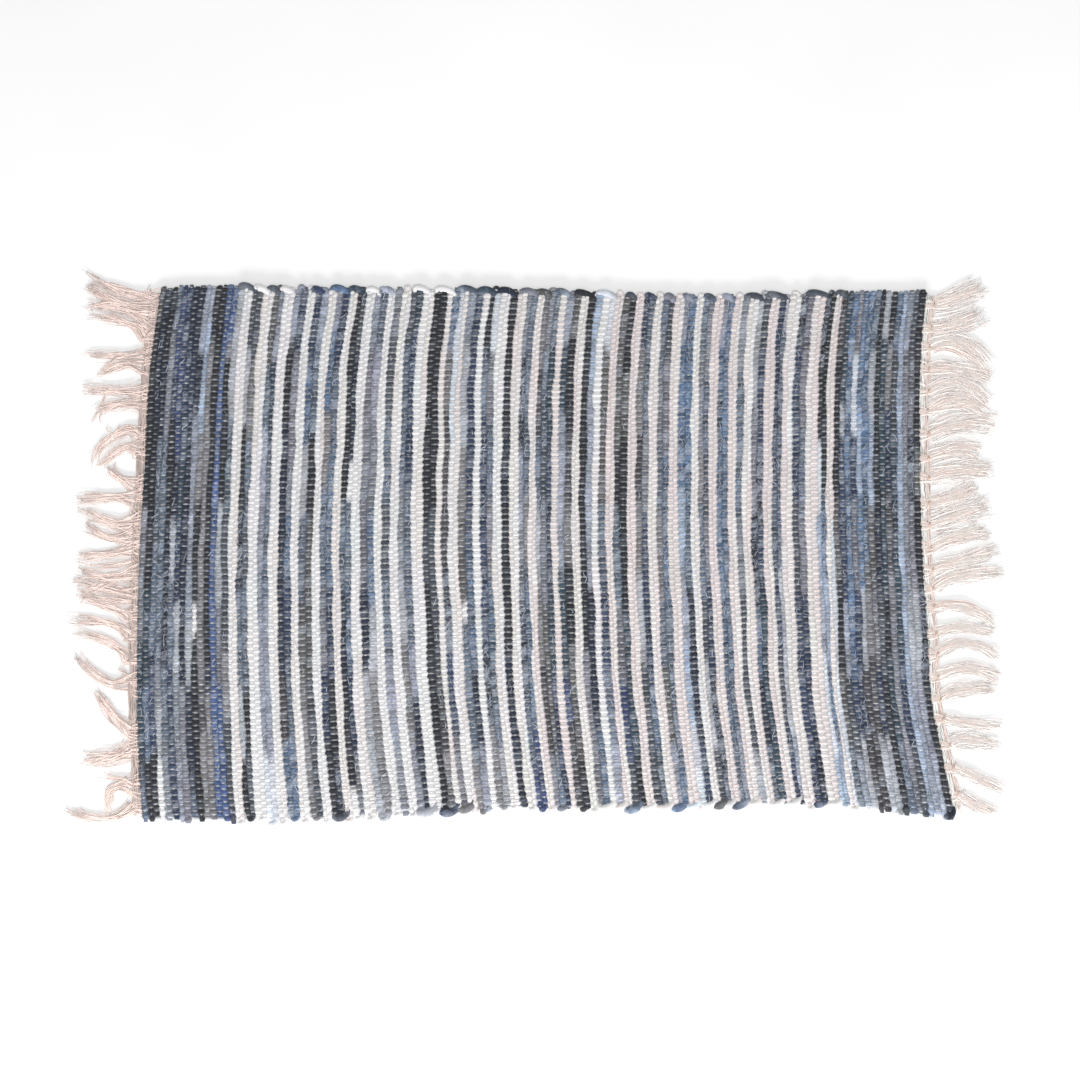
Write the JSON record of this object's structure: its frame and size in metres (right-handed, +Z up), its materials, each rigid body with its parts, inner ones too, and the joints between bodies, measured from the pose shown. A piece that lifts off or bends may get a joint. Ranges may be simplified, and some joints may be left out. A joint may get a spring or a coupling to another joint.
{
  "type": "cotton rag rug",
  "caption": "Flat woven rag rug in light and dark stripes with dark end borders and a knotted fringe at each end, lying flat.",
  "frame": {"origin": "centre of the floor face of the box that holds the rug and its fringes", "axes": "+X along the rug from its left fringe to its right one, +Y along the woven strips towards the back, +Z up"},
  "size_m": [1.0488, 0.6364, 0.006],
  "materials": {
    "woven_rags": "matte plain weave of cotton and denim strips",
    "warp_yarn": "matte plied cotton yarn"
  },
  "bodies": {
    "root": {"woven_cloth": "woven_rags", "fringe_left": "warp_yarn", "fringe_right": "warp_yarn"}
  },
  "joints": []
}
